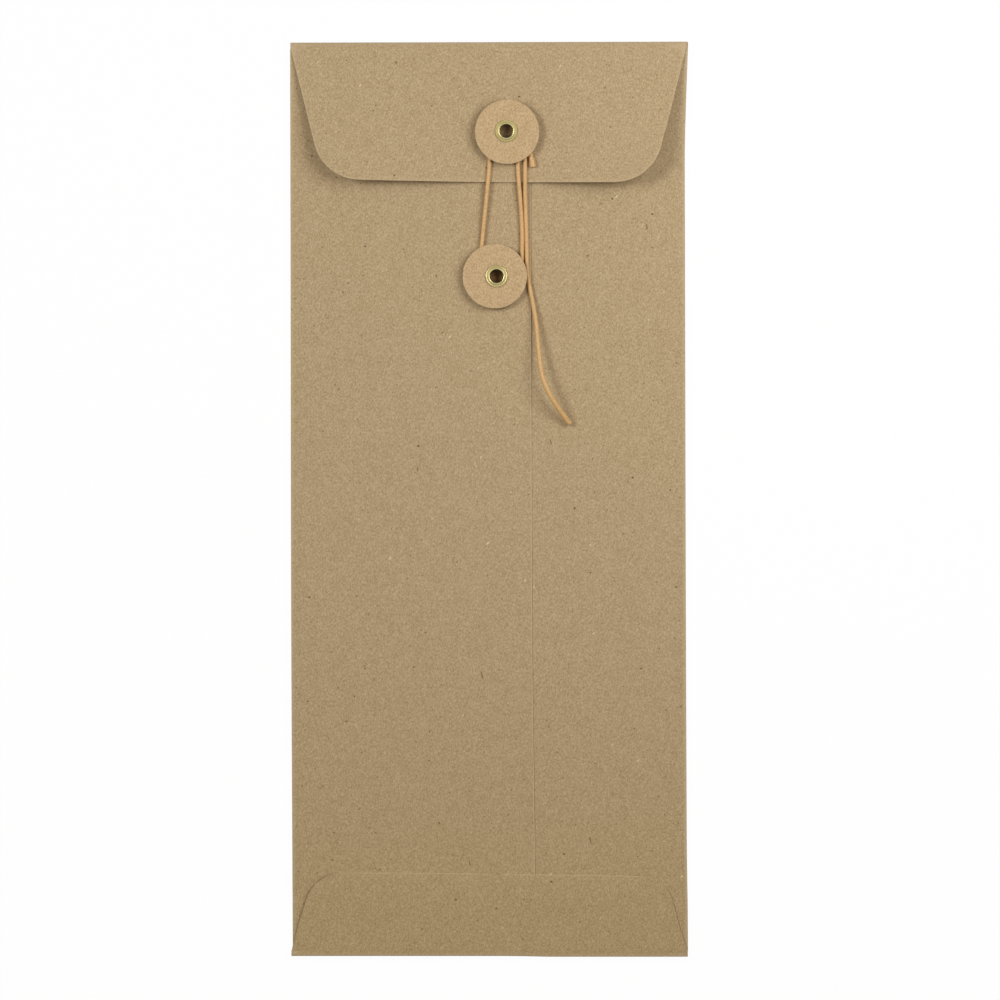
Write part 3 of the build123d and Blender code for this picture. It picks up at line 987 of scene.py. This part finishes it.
def button(name, body, node, eyelet_node, set_down=0.0):
    """A die-cut board disc, dished a little round its eyelet and soft along its rim. It can sit lower than the
    part has it, where it presses on soft string."""
    low, high = (corner - UP * set_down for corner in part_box(node))
    centre = (low + high) / 2
    eyelet_centre = middle_of(eyelet_node)
    bm = bmesh.new()
    rim_place = Matrix.Translation((centre.x, centre.y, high.z))
    hole_place = Matrix.Translation((eyelet_centre.x, eyelet_centre.y, high.z))
    rim_radius = (high.x - low.x) / 2
    hole_radius = EYELET_TUBE + EYELET_RUNNING_CLEARANCE
    bmesh.ops.create_circle(bm, segments=BUTTON_SIDES, radius=rim_radius, matrix=rim_place)
    bmesh.ops.create_circle(bm, segments=BUTTON_SIDES, radius=hole_radius, matrix=hole_place)
    spokes = bmesh.ops.bridge_loops(bm, edges=bm.edges[:])["edges"]
    bmesh.ops.subdivide_edges(bm, edges=spokes, cuts=BUTTON_RINGS, use_grid_fill=True)
    outward_up(bm)
    for vert in bm.verts:
        away = (vert.co.xy - eyelet_centre.xy).length - hole_radius
        vert.co.z -= BUTTON_DISH * math.exp(-((away / BUTTON_DISH_REACH) ** 2))
    bottom = bmesh.ops.extrude_face_region(bm, geom=bm.faces[:])["geom"]
    lowered = [part for part in bottom if isinstance(part, bmesh.types.BMVert)]
    bmesh.ops.translate(bm, vec=UP * (low.z - high.z), verts=lowered)
    bmesh.ops.recalc_face_normals(bm, faces=bm.faces[:])
    bm.normal_update()
    corners = [e for e in bm.edges if e.calc_face_angle(0) > BUTTON_CORNER_ANGLE]
    bmesh.ops.bevel(
        bm,
        geom=corners,
        offset=BUTTON_EDGE,
        offset_type="OFFSET",
        affect="EDGES",
        segments=BUTTON_EDGE_SEGMENTS,
        profile=0.5,
        material=-1,
    )
    # A pale rim: the board's lighter cut fibres, and a painted highlight where its rounded edge catches light
    layer = bm.verts.layers.float.new("cut_edge")
    for vert in bm.verts:
        out = (vert.co.xy - centre.xy).length
        vert[layer] = BUTTON_PALE_SHARE * smoothstep(rim_radius - 2 * BUTTON_EDGE, rim_radius, out)
    piece = new_piece(name, bm, BOARD)
    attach(piece, body)
    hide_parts(node)


def eyelet(name, body, node, paper_under, set_down=0.0, rim_rise=0.0):
    """A brass eyelet: rolled lip, shallow groove, outer rim, tube and clinch, spun from one section. Its lip is
    worn bright by rubbing, and so is its rim where that stands up; down its bore it carries painted shade."""
    low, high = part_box(node)
    centre = (low + high) / 2
    crest = high.z - set_down
    front = [(radius, crest - depth + rise * rim_rise) for radius, depth, rise in EYELET_FRONT]
    seat = [(EYELET_TUBE, paper_under), (CLINCH_RADIUS, paper_under)]
    clinch = [(radius, low.z + height) for radius, height in EYELET_CLINCH]
    section = [(EYELET_BORE, paper_under)] + front + seat + clinch
    bm = bmesh.new()
    verts = [bm.verts.new((centre.x + radius, centre.y, z)) for radius, z in section]
    edges = [bm.edges.new(pair) for pair in zip(verts, verts[1:] + verts[:1])]
    bmesh.ops.spin(
        bm,
        geom=verts + edges,
        cent=(centre.x, centre.y, 0),
        axis=UP,
        angle=math.tau,
        steps=EYELET_STEPS,
        use_merge=True,
        use_duplicate=False,
    )
    bmesh.ops.remove_doubles(bm, verts=bm.verts[:], dist=MERGE_DISTANCE)
    bmesh.ops.recalc_face_normals(bm, faces=bm.faces[:])
    # Points down the bore take painted shade; the lip, and the rim where it stands up, are polished
    painted_shade = bm.verts.layers.float.new("bore_grime")
    polish = bm.verts.layers.float.new("polish")
    for vert in bm.verts:
        out = (vert.co.xy - centre.xy).length
        vert[painted_shade] = 1.0 if out < EYELET_BORE + EYELET_RUNNING_CLEARANCE / 2 else 0.0
        on_rim = rim_rise and out > EYELET_RIM
        vert[polish] = 1.0 if EYELET_BORE < out < EYELET_TUBE or on_rim else 0.0
    piece = new_piece(name, bm, BRASS)
    smooth = piece.modifiers.new("smooth", "SUBSURF")
    smooth.levels = 1
    smooth.render_levels = 1
    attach(piece, body)
    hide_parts(node)


# String


def turn(centre, radius, start_angle, end_angle, z_start, z_end, corners):
    """Route points of a turn round a centre: a polygon whose sides touch the circle of that radius."""
    step = (end_angle - start_angle) / corners
    reach = radius / math.cos(math.radians(step / 2))
    points = []
    for i in range(corners):
        angle = math.radians(start_angle + step * (i + 1 / 2))
        z = z_start + (z_end - z_start) * i / (corners - 1)
        points.append((centre.x + reach * math.cos(angle), centre.y + reach * math.sin(angle), z))
    return points


def below_fold(points):
    """Route points given as x and depth below the crest of the top fold, in mm, and z in metres."""
    return [(x * MM, fold_crest_y - depth * MM, z) for x, depth, z in points]


def string_route():
    """From the cut end round the flap's eyelet, round the pocket's, round the flap's again, then down to the
    tail."""
    upper = middle_of("flap_eyelet")
    lower = middle_of("pocket_eyelet")
    on_front = front_top + STRING_CLEARANCE + STRING / 2
    on_flap = flap_top + STRING_CLEARANCE + STRING / 2
    over_strand = on_flap + STRING + STRING_LAYER_GAP - UPPER_SET_DOWN
    hitch_radius = EYELET_TUBE + STRING_CLEARANCE + STRING / 2
    cut_end = [
        (12.0, 33.1, on_flap + STRING / 2),
        (11.4, 29.4, on_flap + STRING / 2),
        (9.6, 26.4, over_strand + STRING_CLEARANCE),
    ]
    hitch = turn(upper, hitch_radius, -90, -360, over_strand, on_flap, HITCH_CORNERS)
    first_strand = [
        (7.95, 33.0, on_flap),
        (8.15, 36.6, on_flap),
        (8.45, 39.9, on_front + STRING / 2),
        (8.92, 46.5, on_front),
        (9.13, 54.0, on_front),
    ]
    loop = turn(lower + LOOP_SHIFT, LOOP_RADIUS, 0, -180, on_front, on_front, HALF_TURN_CORNERS)
    left_strand = [(-1.86, 55.65, on_front), (-0.15, 39.2, on_flap), (0.5, 32.5, on_flap)]
    wrap = turn(upper + WRAP_SHIFT, WRAP_RADIUS, 180, 0, on_flap, on_flap, HALF_TURN_CORNERS)
    second_strand = [
        (9.9, 33.0, on_flap),
        (9.9, 36.6, on_flap),
        (9.85, 39.9, on_front + STRING / 2),
        (10.1, 47.5, on_front),
        (10.3, 55.45, on_front),
        (10.25, 59.65, on_front),
    ]
    tail = [
        (10.6, 62.05, on_front),
        (10.92, 64.45, on_front),
        (11.73, 68.45, on_front + 0.07 * TAIL_ARCH),
        (12.65, 73.65, on_front + 0.25 * TAIL_ARCH),
        (13.05, 79.05, on_front + 0.5 * TAIL_ARCH),
        (13.56, 84.25, on_front + 0.8 * TAIL_ARCH),
        (14.25, 88.85, on_front + TAIL_ARCH),
        (15.99, 92.85, on_front + TAIL_ARCH),
        (18.45, 96.85, on_front + 0.7 * TAIL_ARCH),
        (21.46, 100.85, on_front + 0.15 * TAIL_ARCH),
    ]
    return (
        below_fold(cut_end)
        + hitch
        + below_fold(first_strand)
        + loop
        + below_fold(left_strand)
        + wrap
        + below_fold(second_strand + tail)
    )


def smooth_line(points):
    """Points read along the NURBS spline that has the route's points as its control points."""
    curve = bpy.data.curves.new("string_route", "CURVE")
    curve.dimensions = "3D"
    curve.resolution_u = SPLINE_STEPS
    spline = curve.splines.new("NURBS")
    spline.points.add(len(points) - 1)
    for control, point in zip(spline.points, points):
        control.co = (*point, 1)
    spline.order_u = 3
    spline.use_endpoint_u = True
    holder = bpy.data.objects.new("string_route", curve)
    line = bpy.data.meshes.new_from_object(holder)
    places = [vert.co.copy() for vert in line.vertices]
    bpy.data.objects.remove(holder)
    bpy.data.curves.remove(curve)
    bpy.data.meshes.remove(line)
    return places


def even_steps(places, step):
    """The same line with its points an even step apart."""
    lengths = [0.0]
    for before, after in zip(places, places[1:]):
        lengths.append(lengths[-1] + (after - before).length)
    count = round(lengths[-1] / step)
    spots, at = [], 0
    for i in range(count + 1):
        goal = lengths[-1] * i / count
        while at < len(places) - 2 and lengths[at + 1] < goal:
            at += 1
        share = (goal - lengths[at]) / (lengths[at + 1] - lengths[at])
        spots.append(places[at].lerp(places[at + 1], share))
    return spots


def tie_string():
    """The waxed string: a twisted cord of a few plies, a little frayed at its two cut ends."""
    spots = even_steps(smooth_line(string_route()), STRING_STEP)
    rings = len(spots) - 1
    bm = bmesh.new()
    bmesh.ops.create_grid(bm, x_segments=rings, y_segments=STRING_SIDES, size=0.5)
    groove = bm.verts.layers.float.new("ply_groove")
    headings = [(spots[min(i + 1, rings)] - spots[max(i - 1, 0)]).normalized() for i in range(rings + 1)]
    sideways = headings[0].orthogonal().normalized()
    frames = []
    for before, heading in zip([headings[0]] + headings, headings):
        sideways = before.rotation_difference(heading) @ sideways
        sideways = (sideways - heading * sideways.dot(heading)).normalized()
        frames.append((sideways.copy(), heading.cross(sideways)))
    for vert in bm.verts:
        i = round((vert.co.x + 0.5) * rings)
        angle = math.tau * (vert.co.y + 0.5)
        travelled = i * STRING_STEP
        fray_reach, fray_share = HITCH_FRAY if i < rings / 2 else TAIL_FRAY
        from_end = min(i, rings - i) * STRING_STEP
        ply = abs(math.sin(PLIES / 2 * (angle - math.tau * travelled / PLY_PITCH)))
        hollow = (1 - ply) ** 2
        fray = 1 + fray_share * (1 - smoothstep(0, fray_reach, from_end))
        radius = STRING_SHOWN / 2 * fray * (1 - PLY_DEPTH_SHARE * hollow)
        across, over = frames[i]
        vert[groove] = hollow
        vert.co = spots[i] + radius * (across * math.cos(angle) + over * math.sin(angle))
    bmesh.ops.remove_doubles(bm, verts=bm.verts[:], dist=MERGE_DISTANCE)
    bmesh.ops.holes_fill(bm, edges=[e for e in bm.edges if e.is_boundary], sides=0)
    bmesh.ops.recalc_face_normals(bm, faces=bm.faces[:])
    piece = new_piece("tie_string", bm, WAXED)
    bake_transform(piece, "flap", "string", start=(0, STRING_BEND_START, 0), end=(0, STRING_BEND_END, 0))
    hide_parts("string_winding", "string_tail")


# Camera, floor and light


def camera():
    """Straight above the sheet, with the photograph's slight turn."""
    lens = bpy.data.cameras.new("camera")
    lens.lens = LENS
    lens.sensor_width = SENSOR
    eye = bpy.data.objects.new("camera", lens)
    eye.location = PICTURE_CENTRE + UP * (PICTURE_WIDTH * LENS / SENSOR)
    eye.rotation_euler = (0, 0, CAMERA_ROLL)
    bpy.context.scene.collection.objects.link(eye)
    bpy.context.scene.camera = eye


def seen_directly(tree):
    """1 for rays that look at a surface, straight or off metal or glass, and 0 for rays that light it."""
    path = add(tree, "ShaderNodeLightPath", {})
    glossy = add(
        tree,
        "ShaderNodeMath",
        {0: path.outputs["Is Camera Ray"], 1: path.outputs["Is Glossy Ray"]},
        operation="MAXIMUM",
    )
    return add(
        tree,
        "ShaderNodeMath",
        {0: glossy.outputs[0], 1: path.outputs["Is Transmission Ray"]},
        operation="MAXIMUM",
    ).outputs[0]


def floor():
    """A white table: it glows to the eye, lights the object as white paper does, and keeps its shadow."""
    bm = bmesh.new()
    bmesh.ops.create_grid(bm, x_segments=1, y_segments=1, size=FLOOR_REACH)
    bmesh.ops.translate(bm, vec=UP * -FLOOR_DROP, verts=bm.verts[:])
    material, tree, shader = new_material("white_table")
    shader.inputs["Base Color"].default_value = linear("#F2F2F2")
    shader.inputs["Roughness"].default_value = 0.9
    glow = add(tree, "ShaderNodeEmission", {"Color": linear("#FFFFFF"), "Strength": 1.0})
    share = add(tree, "ShaderNodeMath", {0: seen_directly(tree), 1: FLOOR_GLOW}, operation="MULTIPLY")
    mixed = add(
        tree,
        "ShaderNodeMixShader",
        {0: share.outputs[0], 1: shader.outputs["BSDF"], 2: glow.outputs["Emission"]},
    )
    tree.links.new(mixed.outputs["Shader"], tree.nodes["Material Output"].inputs["Surface"])
    mesh = bpy.data.meshes.new("floor")
    bm.to_mesh(mesh)
    bm.free()
    mesh.materials.append(material)
    table = bpy.data.objects.new("floor", mesh)
    bpy.context.scene.collection.objects.link(table)


def lamps():
    """Soft boxes to the left and right past the sheet's top, and an even, slightly warm room."""
    for name, place, size, power in LAMPS:
        light = bpy.data.lights.new(name, "AREA")
        light.shape = "SQUARE"
        light.size = size
        light.energy = power
        box = bpy.data.objects.new(name, light)
        box.location = place
        box.rotation_euler = (LAMP_AIM - place).to_track_quat("-Z", "Y").to_euler()
        box.visible_camera = False
        bpy.context.scene.collection.objects.link(box)
    world = bpy.data.worlds.new("room")
    bpy.context.scene.world = world
    world.use_nodes = True
    tree = world.node_tree
    background = tree.nodes["Background"]
    seen = seen_directly(tree)
    tint = add(
        tree,
        "ShaderNodeMix",
        {"Factor": seen, "A": linear(ROOM_TINT), "B": linear("#FFFFFF")},
        data_type="RGBA",
    )
    level = add(tree, "ShaderNodeMapRange", {"Value": seen, "To Min": ROOM_LIGHT, "To Max": 1.0})
    tree.links.new(tint.outputs["Result"], background.inputs["Color"])
    tree.links.new(level.outputs["Result"], background.inputs["Strength"])


camera()
tie_string()
back_sheet()
left_sheet()
right_sheet()
bottom_flap_sheet(-1)
bottom_flap_sheet(1)
closure_flap_sheet()
button("flap_button_disc", "upper_button", "flap_button", "flap_eyelet", UPPER_SET_DOWN)
button("pocket_button_disc", "lower_button", "pocket_button", "pocket_eyelet")
eyelet("flap_eyelet_brass", "flap", "flap_eyelet", flap_low.z, UPPER_SET_DOWN)
eyelet("pocket_eyelet_brass", "front", "pocket_eyelet", left_low.z, rim_rise=LOWER_RIM_RISE)
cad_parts["seam_glue"].data.materials.clear()
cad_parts["seam_glue"].data.materials.append(GLUE)
floor()
lamps()
bpy.context.scene.view_settings.view_transform = "Standard"
